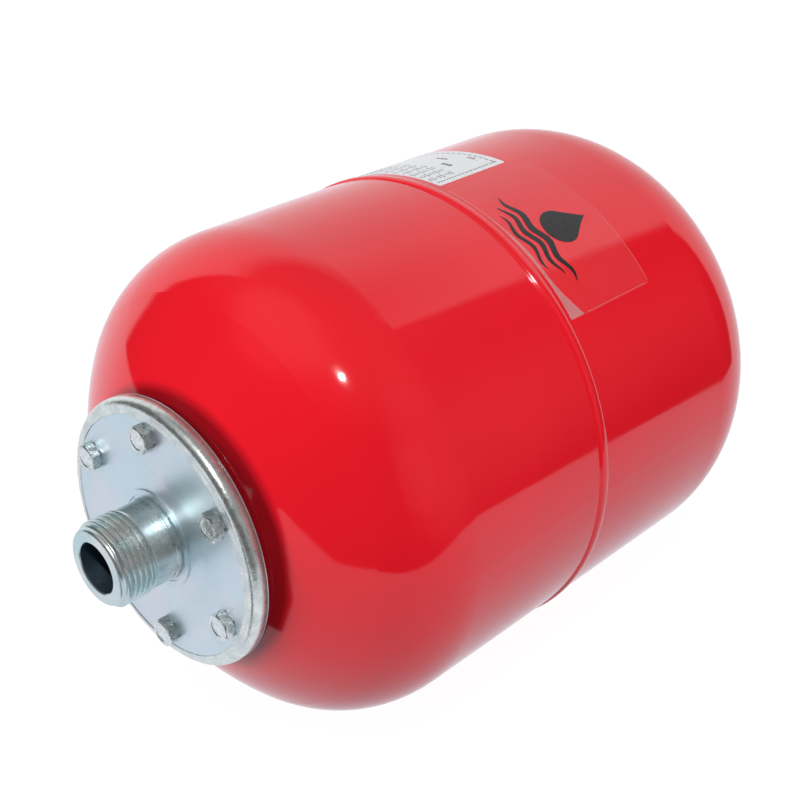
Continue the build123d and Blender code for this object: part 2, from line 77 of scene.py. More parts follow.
# ---- places taken from the frame ----
BODY_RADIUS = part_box("front_shell")[1].x
SEAM_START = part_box("seam_weld")[0].y
SEAM_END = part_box("seam_weld")[1].y
SEAM_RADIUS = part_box("seam_weld")[1].x
NIPPLE_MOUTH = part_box("water_nipple")[0].y
NIPPLE_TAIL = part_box("water_nipple")[1].y
NIPPLE_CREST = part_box("water_nipple")[1].x
BOLT_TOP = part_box("cover_bolts")[0].y
BOLT_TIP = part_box("cover_bolts")[1].y
COVER_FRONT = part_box("flange_cover")[0].y
STEM_ROOT_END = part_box("valve_stem")[0].y
STEM_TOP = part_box("valve_stem")[1].y
FLOOR_LEVEL = cad_low.z

# ---- seam: how far the bead's hidden side lies under the shell ----
SEAM_DEPTH = 0.9 * MM

# ---- G1 water connection ----
THREAD_PITCH = 2.309 * MM
THREAD_ROOT = NIPPLE_CREST - 1.479 * MM
THREAD_START = NIPPLE_MOUTH + 1.7 * MM
THREAD_LENGTH = 14.0 * MM
NIPPLE_BORE = 10.0 * MM
NIPPLE_SHANK = 15.9 * MM
NIPPLE_COLLAR = 16.3 * MM
NIPPLE_COLLAR_BASE = COVER_FRONT + 0.6 * MM
NIPPLE_COLLAR_WIDTH = 2.8 * MM
NIPPLE_GROOVE_WIDTH = 0.7 * MM
NIPPLE_GROOVE_DEPTH = 0.5 * MM
MOUTH_ROUNDING = 1.6 * MM
EDGE_BREAK = 0.4 * MM

# how any thread starts and ends, in pitches, and how flat its crests and roots are
THREAD_LEAD_IN = 0.7
THREAD_RUN_OUT = 1.1
CREST_GAIN = 1.35
CREST_SHIFT = 0.17

# ---- rolled rim of the flange cover ----
COVER_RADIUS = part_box("flange_cover")[1].x
RIM_START = 48.4 * MM
RIM_FILLET = 3.2 * MM
RIM_DROP = 0.45 * MM
RIM_BACK = 6.8 * MM

RIM_PROUD = 0.16 * MM
RIM_TOP = 0.12 * MM
RIM_FOOT = 0.7 * MM
RIM_BACK_BREAK = 0.5 * MM
RIM_BEAD = 0.45 * MM
RIM_WALL = 1.6 * MM

# ---- painted shadow beside the cover, a darker red ring: its centre, and where it fades, outwards and back ----
SHADOW_RING_CENTRE = (4.5 * MM, 0.0, 2.8 * MM)
SHADOW_RING_EDGE = (53.0 * MM, 56.8 * MM)
SHADOW_RING_END = (20.0 * MM, 22.0 * MM)

# ---- cover bolts, M6 ----
BOLT_COUNT = 6
BOLT_CIRCLE = 42.0 * MM
BOLT_START_ANGLE = 32.0
BOLT_HEAD_TURN = 17.0
BOLT_RADIUS = 3.0 * MM
BOLT_PITCH = 1.0 * MM
BOLT_FLATS = 10.0 * MM
BOLT_DISH_DEPTH = 0.35 * MM
BOLT_DISH_RADIUS = 3.6 * MM
BOLT_TOP_RADIUS = 4.7 * MM
BOLT_THREAD_ROOT = 2.5 * MM
BOLT_RUN_OUT = 2.4 * MM
BOLT_TIP_RADIUS = 2.2 * MM

# ---- air valve stem ----
STEM_RADIUS = 3.85 * MM
STEM_CORE = 3.45 * MM
STEM_PITCH = 0.79375 * MM
STEM_THREADS = 8.5
STEM_ROOT_RADIUS = 4.85 * MM
STEM_BORE = 2.6 * MM
STEM_AIR_BORE = 1.85 * MM
STEM_HEX_FLATS = 13.0 * MM
STEM_HEX_HEIGHT = 3.5 * MM
STEM_LENGTH = 10.0 * MM
STEM_BORE_DEPTH = 7.4 * MM

# ---- valve spring ----
SPRING_WIRE = 0.22 * MM
SPRING_TURNS = 7

# ---- clear film: sheet, drop and waves; heights are above its front edge, angles in degrees ----
FILM_START = SEAM_START + 7.0 * MM
FILM_WIDTH = 50.0 * MM
FILM_THICKNESS = 0.12 * MM
FILM_CORNER = 1.2 * MM
FILM_ANGLES = (40.0, 83.0)
INK_THICKNESS = 0.03 * MM
PRINT_ANGLE = 61.0
DROP_BOTTOM = 17.6 * MM
DROP_RADIUS = 8.4 * MM
DROP_HEIGHT = 24.5 * MM
DROP_TAPER = 1.18
WAVES = ((14.2, 3.4, 47.0), (9.6, 2.7, 38.0), (5.0, 2.0, 29.0))  # middle, width, length in mm
WAVE_LENGTH = 15.5 * MM
WAVE_SWELL = 1.1 * MM
WAVE_TAPER = 0.6

# ---- the film's front edge: a strip that widens from high to low and most at the low corner ----
LIFT_WIDTH = 0.4 * MM
LIFT_SWELL = 1.3 * MM
LIFT_SWELL_FROM = 76.0
LIFT_SWELL_OVER = 22.0
LIFT_CORNER_WIDTH = 6.5 * MM
LIFT_CORNER_OVER = 11.0
LIFT_CORNER_CURVE = 1.7
LIFT_INSET = 0.1 * MM

# ---- the film's other two edges in view, thin pale lines ----
LOW_EDGE_TURN = 0.3
LOW_EDGE_START = 10.0 * MM
LOW_EDGE_END = 2.0 * MM
LOW_EDGE_WIDTH = 0.35 * MM
REAR_EDGE_TURN = 11.5
REAR_EDGE_INSET = 0.45 * MM
REAR_EDGE_WIDTH = 0.3 * MM
REAR_EDGE_LENGTH = 38.0 * MM

# ---- data label: sheet and printed bars; heights are above its front edge ----
LABEL_START = SEAM_START + 8.5 * MM
LABEL_WIDTH = 40.0 * MM
LABEL_THICKNESS = 0.15 * MM
LABEL_CORNER = 1.0 * MM
LABEL_ANGLES = (86.0, 120.0)
LABEL_MARGIN = 1.6
FRAME_MARGIN = 2.0 * MM
FRAME_DASHES = 22
FRAME_DASH_SHARE = 0.62
FRAME_DASH_LENGTH = 0.55 * MM
LABEL_ROWS = 8
ROW_START = 1.6 * MM
ROW_STEP = 1.75 * MM
ROW_HEIGHT = 0.6 * MM
LABEL_WORDS = 11
WORD_START = 2.3
WORD_STEP = 2.85
WORD_LENGTH = 2.3 * MM
WORD_SPREAD = 1.3 * MM
WORD_PHASES = (2.1, 3.7)
# a bowed row of dashes along the rear edge: its highest dash, and its drop a dash squared
BOW_DASHES = 17
BOW_TOP = 36.4 * MM
BOW_PEAK = 4.0
BOW_DROP = 0.018 * MM
BOW_HEIGHT = 0.7 * MM
BOW_START = 0.9
BOW_STEP = 1.75
BOW_LENGTH = 2.0 * MM
# height and width in mm, turn from the frame in degrees, length in mm
LABEL_SIGNS = ((20.0, 1.9, 7.2, 4.6), (26.5, 1.6, 12.0, 5.2), (33.0, 1.3, 6.0, 3.6))

# ---- camera: its place, where it looks and its lens ----
CAMERA_PLACE = Vector((0.350140, -0.233740, 0.286051))
CAMERA_YAW = 44.064
CAMERA_PITCH = 29.042
CAMERA_ROLL = -0.035
CAMERA_LENS = 60.955
CAMERA_SENSOR = 36.0

# ---- studio: angles in degrees, brightness where white paper is 1 ----
LAMP_TARGET = (0.0, 0.04, 0.03)
LAMP_REACH = 2.0
DIFFUSE_SKY = 0.33
SEEN_SKY = 1.0
FLOOR_REACH = 8.0
FLOOR_GLOW = 0.96
FLOOR_BOUNCE = 0.28
TABLE_GLOW = 0.92
TABLE_DROP = 1.0 * MM  # the mirrored table lies this far under the floor
# outline in metres; the notch near the origin keeps the table's white out of the rim
TABLE_OUTLINE = (
    (0.23, -1.1), (0.21, -0.43), (0.195, -0.22), (0.30, -0.06), (0.42, 0.10), (0.50, 0.27),
    (0.41, 0.42), (0.30, 0.56), (0.14, 0.70), (-0.5, 1.7), (-4, 3), (-4, -3), (-0.1, -3),
    (0.0, -0.6), (0.02, -0.2), (0.03, -0.06), (0.048, -0.045), (0.075, -0.10),
    (0.098, -0.22), (0.13, -0.45), (0.19, -1.2),
)
BACKDROP_AZIMUTH = 131
BACKDROP_EDGE = (61, 57)
BACKDROP_FADE = (42, 66)
BACKDROP_BRIGHTNESS = 0.95
CEILING_RISE = (28, 62)
CEILING_BRIGHTNESS = (0.02, 0.22)
LEFT_BOX_EDGE = (30, 12)
LEFT_BOX_BRIGHTNESS = 0.28
RIGHT_PATCH_EDGE = (44, 4)
RIGHT_PATCH_BRIGHTNESS = 0.24


# ======================================================================= materials
class Surface:
    """A procedural material: one Principled shader and the few nodes that drive it."""

    def __init__(self, name, metallic=0.0, ior=1.5, **plain):
        self.material = bpy.data.materials.new(name)
        self.material.use_nodes = True
        self.nodes = self.material.node_tree.nodes
        self.links = self.material.node_tree.links
        self.shader = self.nodes["Principled BSDF"]
        self.shader.inputs["Metallic"].default_value = metallic
        self.shader.inputs["IOR"].default_value = ior
        for socket, value in plain.items():
            self.shader.inputs[socket.replace("_", " ")].default_value = value
        self.place = self.nodes.new("ShaderNodeTexCoord").outputs["Object"]

    def noise(self, scale, detail=2.0, roughness=0.5, stretch=(1, 1, 1), distortion=0.0):
        """Smooth noise over the piece, about 1 / scale metres to a patch."""
        mapping = self.nodes.new("ShaderNodeMapping")
        mapping.inputs["Scale"].default_value = stretch
        self.links.new(self.place, mapping.inputs["Vector"])
        node = self.nodes.new("ShaderNodeTexNoise")
        node.inputs["Scale"].default_value = scale
        node.inputs["Detail"].default_value = detail
        node.inputs["Roughness"].default_value = roughness
        node.inputs["Distortion"].default_value = distortion
        self.links.new(mapping.outputs[0], node.inputs["Vector"])
        return node.outputs[0]

    def ramp(self, value, low, high, start=0.3, end=0.7):
        """A colour that runs from low to high as value runs from start to end."""
        node = self.nodes.new("ShaderNodeValToRGB")
        first, last = node.color_ramp.elements
        first.position, last.position = start, end
        first.color, last.color = (*low, 1.0), (*high, 1.0)
        self.links.new(value, node.inputs[0])
        return node.outputs[0]

    def spread(self, value, low, high, start=0.3, end=0.7):
        """A number that runs from low to high as value runs from start to end."""
        node = self.nodes.new("ShaderNodeMapRange")
        for socket, number in zip(node.inputs[1:5], (start, end, low, high)):
            socket.default_value = number
        self.links.new(value, node.inputs[0])
        return node.outputs[0]

    def blend(self, share, low, high):
        """Two colours mixed by a share."""
        node = self.nodes.new("ShaderNodeMix")
        node.data_type = "RGBA"
        self.links.new(share, node.inputs[0])
        self.links.new(low, node.inputs[6])
        self.links.new(high, node.inputs[7])
        return node.outputs[2]

    def round_axis(self, shift):
        """Distance from a line beside the vessel's axis, and the place along it."""
        moved = self.nodes.new("ShaderNodeVectorMath")
        moved.operation = "SUBTRACT"
        moved.inputs[1].default_value = shift
        self.links.new(self.place, moved.inputs[0])
        parts = self.nodes.new("ShaderNodeSeparateXYZ")
        self.links.new(moved.outputs[0], parts.inputs[0])
        across = self.nodes.new("ShaderNodeCombineXYZ")
        self.links.new(parts.outputs[0], across.inputs[0])
        self.links.new(parts.outputs[2], across.inputs[2])
        length = self.nodes.new("ShaderNodeVectorMath")
        length.operation = "LENGTH"
        self.links.new(across.outputs[0], length.inputs[0])
        return length.outputs["Value"], parts.outputs[1]

    def product(self, first, second):
        """Two numbers multiplied."""
        node = self.nodes.new("ShaderNodeMath")
        node.operation = "MULTIPLY"
        self.links.new(first, node.inputs[0])
        self.links.new(second, node.inputs[1])
        return node.outputs[0]

    def colour(self, output):
        """Sets what the base colour comes from."""
        self.links.new(output, self.shader.inputs["Base Color"])

    def roughness(self, output):
        """Sets what the roughness comes from."""
        self.links.new(output, self.shader.inputs["Roughness"])

    def relief(self, *layers):
        """Stacked bumps, each a (height output, depth in metres)."""
        last = None
        for height, depth in layers:
            node = self.nodes.new("ShaderNodeBump")
            node.inputs["Strength"].default_value = 1.0
            node.inputs["Distance"].default_value = depth
            self.links.new(height, node.inputs["Height"])
            if last:
                self.links.new(last, node.inputs["Normal"])
            last = node.outputs[0]
        self.links.new(last, self.shader.inputs["Normal"])


def red_paint():
    """Glossy red enamel, a trace of orange peel, and a painted shadow beside the cover: a ring of
    darker red.
    """
    skin = Surface("red_paint", ior=1.5)
    enamel = skin.ramp(skin.noise(9, 3), (0.74, 0.0088, 0.019), (0.83, 0.0112, 0.023))
    # painted shadow: a darker red that stands in for the shade on the shell beside the cover's rim
    painted_shadow = skin.ramp(skin.noise(9, 3), (0.24, 0.0030, 0.007), (0.29, 0.0036, 0.008))
    # where the painted shadow lies: a ring round a centre shifted to +X, fading outwards and back
    # from the cover
    radius, along = skin.round_axis(SHADOW_RING_CENTRE)
    beside = skin.spread(radius, 1.0, 0.0, *SHADOW_RING_EDGE)
    front = skin.spread(along, 1.0, 0.0, *SHADOW_RING_END)
    skin.colour(skin.blend(skin.product(beside, front), enamel, painted_shadow))
    skin.roughness(skin.spread(skin.noise(22, 4), 0.05, 0.11))
    skin.relief((skin.noise(30, 1), 0.00005), (skin.noise(420, 2), 0.0000030))
    return skin.material


def zinc(name, cool, warm, rough, patch=26, grain=900, depth=0.000004, flecks=0.0):
    """Zinc plate: cool and warm patches, a fine satin grain and a few rubbed flecks."""
    skin = Surface(name, metallic=0.88)
    patches = skin.ramp(skin.noise(patch, 3, 0.55, distortion=0.6), cool, warm, 0.38, 0.66)
    rubbed = skin.ramp(skin.noise(grain, 4, 0.7), cool, (0.97, 0.98, 0.98), 0.45, 0.62)
    share = skin.spread(skin.noise(grain / 5, 2), 0.0, flecks, 0.42, 0.68)
    skin.colour(skin.blend(share, patches, rubbed))
    skin.roughness(skin.spread(skin.noise(grain / 3, 4, 0.65), *rough))
    skin.relief((skin.noise(grain, 3), depth), (skin.noise(patch * 3, 2), depth * 6))
    return skin.material


def dull_steel():
    """Bare pressed and welded steel inside the vessel."""
    skin = Surface("plain_steel", metallic=1.0)
    skin.colour(skin.ramp(skin.noise(60, 5), (0.26, 0.26, 0.27), (0.46, 0.45, 0.44)))
    skin.roughness(skin.spread(skin.noise(300, 4), 0.35, 0.55))
    skin.relief((skin.noise(700, 4), 0.00002))
    return skin.material


def rubber():
    """Matt black rubber with bloom."""
    skin = Surface("black_rubber", Specular_IOR_Level=0.35)
    skin.colour(skin.ramp(skin.noise(45, 4), (0.012, 0.012, 0.013), (0.035, 0.035, 0.036)))
    skin.roughness(skin.spread(skin.noise(160, 3), 0.55, 0.75))
    skin.relief((skin.noise(1200, 3), 0.00001))
    return skin.material


def brass():
    """Turned brass, a little tarnished."""
    skin = Surface("valve_brass", metallic=1.0)
    skin.colour(skin.ramp(skin.noise(180, 4), (0.60, 0.40, 0.15), (0.86, 0.66, 0.32)))
    skin.roughness(skin.spread(skin.noise(500, 3), 0.18, 0.34))
    skin.relief((skin.noise(1500, 2, stretch=(1, 6, 1)), 0.000006))
    return skin.material


def plastic(name, dark, light, rough, grain=1400):
    """Moulded plastic with a fine spark-eroded grain."""
    skin = Surface(name, ior=1.46)
    skin.colour(skin.ramp(skin.noise(70, 3), dark, light))
    skin.roughness(skin.spread(skin.noise(240, 3), *rough))
    skin.relief((skin.noise(grain, 3), 0.000012))
    return skin.material


def small_steel(name, dark, light):
    """Drawn stainless wire and turned pins."""
    skin = Surface(name, metallic=1.0)
    skin.colour(skin.ramp(skin.noise(900, 3), dark, light))
    skin.roughness(skin.spread(skin.noise(1500, 2), 0.15, 0.3))
    return skin.material


def label_paper():
    """Coated white paper with a faint fibre."""
    skin = Surface("label_paper", ior=1.45)
    skin.colour(skin.ramp(skin.noise(500, 5, 0.7), (0.76, 0.77, 0.80), (0.86, 0.87, 0.90)))
    skin.roughness(skin.spread(skin.noise(260, 3), 0.24, 0.36))
    skin.relief((skin.noise(900, 4), 0.000004))
    return skin.material


def ink(name, dark, light):
    """Printing ink, slightly broken where it lies thinly."""
    skin = Surface(name, ior=1.45)
    skin.colour(skin.ramp(skin.noise(1600, 3, 0.6), dark, light, 0.45, 0.75))
    skin.roughness(skin.spread(skin.noise(400, 2), 0.16, 0.3))
    return skin.material


def film(name, veil, tint, rough):
    """Clear adhesive film: a weak milky veil and a gloss of its own."""
    skin = Surface(name, ior=1.4, Alpha=veil)
    skin.colour(skin.ramp(skin.noise(120, 4), tint, (0.92, 0.70, 0.70)))
    skin.roughness(skin.spread(skin.noise(90, 4), *rough))
    skin.relief((skin.noise(130, 2), 0.00002))
    skin.material.surface_render_method = "BLENDED"
    return skin.material


MATERIALS = {
    "red_paint": red_paint(),
    "plain_steel": dull_steel(),
    "black_rubber": rubber(),
    "zinc_plate": zinc(
        "zinc_plate", (0.62, 0.76, 0.82), (0.73, 0.75, 0.81), (0.31, 0.41), depth=0.000002
    ),
    "zinc_nipple": zinc(
        "zinc_nipple", (0.54, 0.69, 0.71), (0.80, 0.81, 0.78), (0.23, 0.35), 60, 1100,
        flecks=0.15,
    ),
    "zinc_bolt": zinc(
        "zinc_bolt", (0.58, 0.65, 0.64), (0.94, 0.92, 0.95), (0.14, 0.34), 220, 1300, 0.00003, 0.9
    ),
    "boss_steel": zinc("boss_steel", (0.56, 0.64, 0.68), (0.68, 0.69, 0.70), (0.30, 0.42)),
    "valve_brass": brass(),
    "seal_plastic": plastic("seal_plastic", (0.55, 0.03, 0.02), (0.75, 0.06, 0.04), (0.3, 0.45)),
    "pin_steel": small_steel("pin_steel", (0.50, 0.50, 0.52), (0.78, 0.78, 0.78)),
    "spring_steel": small_steel("spring_steel", (0.38, 0.38, 0.40), (0.66, 0.65, 0.63)),
    "black_plastic": plastic(
        "black_plastic", (0.010, 0.010, 0.011), (0.028, 0.028, 0.030), (0.30, 0.45)
    ),
    "guard_plastic": plastic(
        "guard_plastic", (0.012, 0.012, 0.013), (0.032, 0.032, 0.035), (0.34, 0.5), 900
    ),
    "label_paper": label_paper(),
    "clear_film": film("clear_film", 0.018, (0.86, 0.50, 0.50), (0.08, 0.20)),
}
RIM_ZINC = zinc(
    "zinc_rim", (0.62, 0.68, 0.66), (0.84, 0.86, 0.83), (0.22, 0.40), 140, 900, 0.00002, 0.6
)
BORE_STEEL = zinc("zinc_bore", (0.09, 0.15, 0.20), (0.14, 0.20, 0.24), (0.35, 0.5), 60)
BLACK_INK = ink("black_ink", (0.008, 0.008, 0.009), (0.022, 0.020, 0.020))
GREY_INK = ink("grey_ink", (0.10, 0.11, 0.13), (0.24, 0.25, 0.28))
LIFTED_FILM = film("lifted_film", 0.20, (0.86, 0.50, 0.52), (0.15, 0.35))
FILM_OUTLINE = film("film_outline", 0.10, (0.84, 0.52, 0.52), (0.15, 0.35))


# ======================================================================= meshes
def finish_mesh(name, built, material, sharp):
    """Welds, orients and smooths a bmesh and makes it an object."""
    bmesh.ops.remove_doubles(built, verts=built.verts, dist=0.5e-6)
    bmesh.ops.dissolve_degenerate(built, edges=built.edges, dist=0.5e-6)
    bmesh.ops.recalc_face_normals(built, faces=built.faces)
    mesh = bpy.data.meshes.new(name)
    built.to_mesh(mesh)
    built.free()
    mesh.shade_smooth()
    mesh.set_sharp_from_angle(angle=radians(sharp))
    mesh.materials.append(material)
    made = bpy.data.objects.new(name, mesh)
    bpy.context.scene.collection.objects.link(made)
    return made


def grid_faces(built, grid):
    """Quads over a list of equally long rows of vertices."""
    for row, above in zip(grid, grid[1:]):
        for a, b, c, d in zip(row, row[1:], above[1:], above):
            if len({a, b, c, d}) == 4:
                built.faces.new((a, b, c, d))


def turned(name, rows, columns, material, sharp=32, closed=True):
    """A body about Y. Each row is (radius, y), or a function of the turn, 0 to 1, that gives it."""
    built = bmesh.new()
    outline = [*rows, rows[0]] if closed else rows
    grid = []
    for row in outline:
        line = []
        for column in range(columns + 1):
            turn = column / columns
            radius, y = row(turn) if callable(row) else row
            angle = FULL_TURN * turn
            line.append(built.verts.new((radius * cos(angle), y, radius * sin(angle))))
        grid.append(line)
    grid_faces(built, grid)
    return finish_mesh(name, built, material, sharp)


def arc_rows(centre, radius, start, end, steps):
    """Outline points on an arc in the (radius, y) plane, angles in degrees."""
    for step in range(steps + 1):
        angle = radians(start + (end - start) * step / steps)
        yield centre[0] + radius * cos(angle), centre[1] + radius * sin(angle)


def smooth_step(value):
    """Eases from 0 to 1, flat at both ends."""
    value = min(1.0, max(0.0, value))
    return value * value * (3 - 2 * value)


def helix_rows(start, length, pitch, root, crest, run_out, steps=12):
    """Rows of a right-hand thread that starts at start and runs out into the run_out radius."""

    def row(index):
        place = index / steps
        wave = 0.5 - 0.5 * cos(FULL_TURN * place)
        ridge = root + (crest - root) * min(1.0, max(0.0, CREST_GAIN * wave - CREST_SHIFT))

        def point(turn):
            travelled = (place - turn) * pitch
            along = min(length, max(0.0, travelled))
            radius = root + (ridge - root) * smooth_step(along / (THREAD_LEAD_IN * pitch))
            fading = THREAD_RUN_OUT * pitch
            share = smooth_step((along - length + fading) / fading)
            return radius + (run_out - radius) * share, start + along

        return point

    return [row(index) for index in range(steps * (ceil(length / pitch) + 1) + 1)]


def hexagon_radius(flats, turn):
    """Distance from the axis to a hexagon's side, with a corner at turn 0."""
    sixth = FULL_TURN / 6
    return flats / 2 / cos((FULL_TURN * turn) % sixth - sixth / 2)


def chamfered(flats, face, top_radius, way):
    """Row where a hexagon's 30 degree chamfer meets its sides."""

    def point(turn):
        radius = hexagon_radius(flats, turn)
        return radius, face + way * (radius - top_radius) * tan(radians(30))

    return point


def straight(flats, y):
    """Row round a hexagon's sides at one height."""
    return lambda turn: (hexagon_radius(flats, turn), y)


def add_sheet(built, place, across, along, radius, thickness):
    """Adds a closed thin sheet. place gives (y, angle in degrees) for shares across and along."""
    layers = []
    for reach in (radius, radius + thickness):
        layer = []
        for row in range(along + 1):
            line = []
            for column in range(across + 1):
                y, angle = place(column / across, row / along)
                turn = radians(angle)
                line.append(built.verts.new((reach * cos(turn), y, reach * sin(turn))))
            layer.append(line)
        layers.append(layer)
        grid_faces(built, layer)
    under, over = layers
    grid_faces(built, [under[0], over[0]])
    grid_faces(built, [under[-1], over[-1]])
    for side in (0, -1):
        grid_faces(built, [[row[side] for row in under], [row[side] for row in over]])


def curved_sheets(name, shapes, radius, thickness, material):
    """One object of thin sheets on the body. Each shape is (place, across, along)."""
    built = bmesh.new()
    for place, across, along in shapes:
        add_sheet(built, place, across, along, radius, thickness)
    return finish_mesh(name, built, material, 40)


def coil(name, wire, radius, start, end, turns, material, around=10, steps=28):
    """A wire wound about the axis, with flat cut ends."""
    built = bmesh.new()
    rings = []
    rise = (end - start) / turns
    for step in range(turns * steps + 1):
        turn = FULL_TURN * step / steps
        out = Vector((cos(turn), 0.0, sin(turn)))
        middle = out * radius + Vector((0.0, start + rise * step / steps, 0.0))
        ahead = Vector((-sin(turn) * radius, rise / FULL_TURN, cos(turn) * radius)).normalized()
        side = ahead.cross(out)
        angles = [FULL_TURN * i / around for i in range(around)]
        ring = [built.verts.new(middle + (out * cos(a) + side * sin(a)) * wire) for a in angles]
        rings.append([*ring, ring[0]])
    grid_faces(built, rings)
    for ring in (rings[0], rings[-1]):
        built.faces.new(ring[:-1])
    return finish_mesh(name, built, material, 60)


def arc_degrees(length):
    """Angle that an arc of this length takes on the body."""
    return degrees(length / BODY_RADIUS)


def rounded_rectangle(low, width, angles, corner):
    """Places on a rectangle with rounded corners, its rows closer together near the ends."""

    def place(across, along):
        y = low + width * (1 - cos(pi * along)) / 2
        depth = corner - min(corner, y - low, low + width - y)
        inset = arc_degrees(corner - sqrt(max(0.0, corner * corner - depth * depth)))
        first, last = angles[0] + inset, angles[1] - inset
        return y, first + (last - first) * across

    return place


def bar(low, width, centre, length):
    """Places on a straight bar: low edge and width along Y, centre angle and arc length."""

    def place(across, along):
        return low + width * along, centre + arc_degrees(length) * (0.5 - across)

    return place


def attach(piece, body, slot, *nodes):
    """Makes a piece ride on its body and stand for its CAD nodes; its slot is not used."""
    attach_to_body(piece, body)
    if nodes:
        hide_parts(*nodes)


# ======================================================================= pieces
def water_nipple():
    """G1 connection: rounded mouth, helical thread that runs out into the shank, and a collar."""
    collar = NIPPLE_COLLAR_BASE - NIPPLE_COLLAR_WIDTH
    groove = collar - NIPPLE_GROOVE_WIDTH
    groove_radius = NIPPLE_SHANK - NIPPLE_GROOVE_DEPTH
    rounding = (THREAD_ROOT - MOUTH_ROUNDING, NIPPLE_MOUTH + MOUTH_ROUNDING)
    bore_steps = 8
    bore = [
        (NIPPLE_BORE, NIPPLE_TAIL + (NIPPLE_MOUTH + EDGE_BREAK - NIPPLE_TAIL) * i / bore_steps)
        for i in range(bore_steps + 1)
    ]
    rows = [
        (NIPPLE_BORE + EDGE_BREAK, NIPPLE_MOUTH),
        *arc_rows(rounding, MOUTH_ROUNDING, -90, 0, 8),
        *helix_rows(
            THREAD_START, THREAD_LENGTH, THREAD_PITCH, THREAD_ROOT, NIPPLE_CREST, NIPPLE_SHANK
        ),
        (NIPPLE_SHANK, groove - EDGE_BREAK / 2),
        (NIPPLE_SHANK - EDGE_BREAK / 2, groove),
        (groove_radius, groove + EDGE_BREAK / 4),
        (groove_radius, collar),
        (NIPPLE_COLLAR - EDGE_BREAK / 2, collar),
        (NIPPLE_COLLAR, collar + EDGE_BREAK / 2),
        (NIPPLE_COLLAR, NIPPLE_COLLAR_BASE),
        (NIPPLE_SHANK, NIPPLE_COLLAR_BASE),
        (NIPPLE_SHANK, NIPPLE_TAIL),
        *bore,
    ]
    piece = turned("water_nipple_threaded", rows, 160, MATERIALS["zinc_nipple"], sharp=38)
    piece.data.materials.append(BORE_STEEL)
    for face in piece.data.polygons:
        if hypot(face.center.x, face.center.z) < NIPPLE_BORE + EDGE_BREAK / 4:
            face.material_index = 1
    attach(piece, "vessel", "zinc_nipple", "water_nipple")


def cover_bolts():
    """Six hexagon bolts with chamfered, dished heads, each left at its own turn."""
    dish = BOLT_TOP + BOLT_DISH_DEPTH
    rows = [
        (0.0, dish),
        (BOLT_DISH_RADIUS - 2 * BOLT_DISH_DEPTH, dish),
        (BOLT_DISH_RADIUS - BOLT_DISH_DEPTH, dish - BOLT_DISH_DEPTH / 4),
        (BOLT_DISH_RADIUS, BOLT_TOP),
        (BOLT_TOP_RADIUS, BOLT_TOP),
        chamfered(BOLT_FLATS, BOLT_TOP, BOLT_TOP_RADIUS, 1),
        straight(BOLT_FLATS, -EDGE_BREAK),
        (BOLT_FLATS / 2 - EDGE_BREAK / 2, 0.0),
        (BOLT_RADIUS, 0.0),
        *helix_rows(
            BOLT_PITCH / 2, BOLT_TIP - 1.5 * BOLT_PITCH, BOLT_PITCH, BOLT_THREAD_ROOT,
            BOLT_RADIUS, BOLT_RUN_OUT, steps=8,
        ),
        (BOLT_TIP_RADIUS, BOLT_TIP),
        (0.0, BOLT_TIP),
    ]
    first = turned("cover_bolt_1", rows, 72, MATERIALS["zinc_bolt"], sharp=28, closed=False)
    bolts = [first]
    for number in range(2, BOLT_COUNT + 1):
        bolts.append(bpy.data.objects.new(f"cover_bolt_{number}", first.data))
        bpy.context.scene.collection.objects.link(bolts[-1])
    for index, bolt in enumerate(bolts):
        angle = radians(BOLT_START_ANGLE + index * 360 / BOLT_COUNT)
        bolt.location = (BOLT_CIRCLE * cos(angle), 0.0, BOLT_CIRCLE * sin(angle))
        bolt.rotation_euler = (0.0, radians(index * BOLT_HEAD_TURN), 0.0)
        attach(bolt, "vessel", "zinc_bolt", "cover_bolts")


def valve_stem():
    """Brass air valve body with its hexagon, cap thread and stepped bore."""
    thread_length = STEM_PITCH * STEM_THREADS
    hex_top = STEM_TOP - STEM_LENGTH
    hex_base = hex_top - STEM_HEX_HEIGHT
    top_radius = STEM_HEX_FLATS / 2 - EDGE_BREAK
    bore_step = STEM_TOP - STEM_BORE_DEPTH
    rows = [
        (STEM_ROOT_RADIUS, STEM_ROOT_END),
        (STEM_ROOT_RADIUS, hex_base),
        (top_radius, hex_base),
        chamfered(STEM_HEX_FLATS, hex_base, top_radius, 1),
        chamfered(STEM_HEX_FLATS, hex_top, top_radius, -1),
        (top_radius, hex_top),
        (STEM_CORE, hex_top),
        *helix_rows(
            STEM_TOP - thread_length - EDGE_BREAK / 2, thread_length, STEM_PITCH, STEM_CORE,
            STEM_RADIUS, STEM_CORE, steps=8,
        ),
        (STEM_CORE - EDGE_BREAK / 2, STEM_TOP),
        (STEM_BORE, STEM_TOP),
        (STEM_BORE, bore_step),
        (STEM_AIR_BORE, bore_step),
        (STEM_AIR_BORE, STEM_ROOT_END),
    ]
    piece = turned("valve_stem_threaded", rows, 96, MATERIALS["valve_brass"], sharp=32)
    attach(piece, "vessel", "valve_brass", "valve_stem")


def valve_spring():
    """Coil spring of the air valve, wound inside the CAD spring's box."""
    low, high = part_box("valve_spring")
    wire = SPRING_WIRE / 2
    piece = coil(
        "valve_spring_coil", wire, high.x - wire, low.y + wire, high.y - wire, SPRING_TURNS,
        MATERIALS["spring_steel"],
    )
    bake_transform(piece)
    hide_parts("valve_spring")


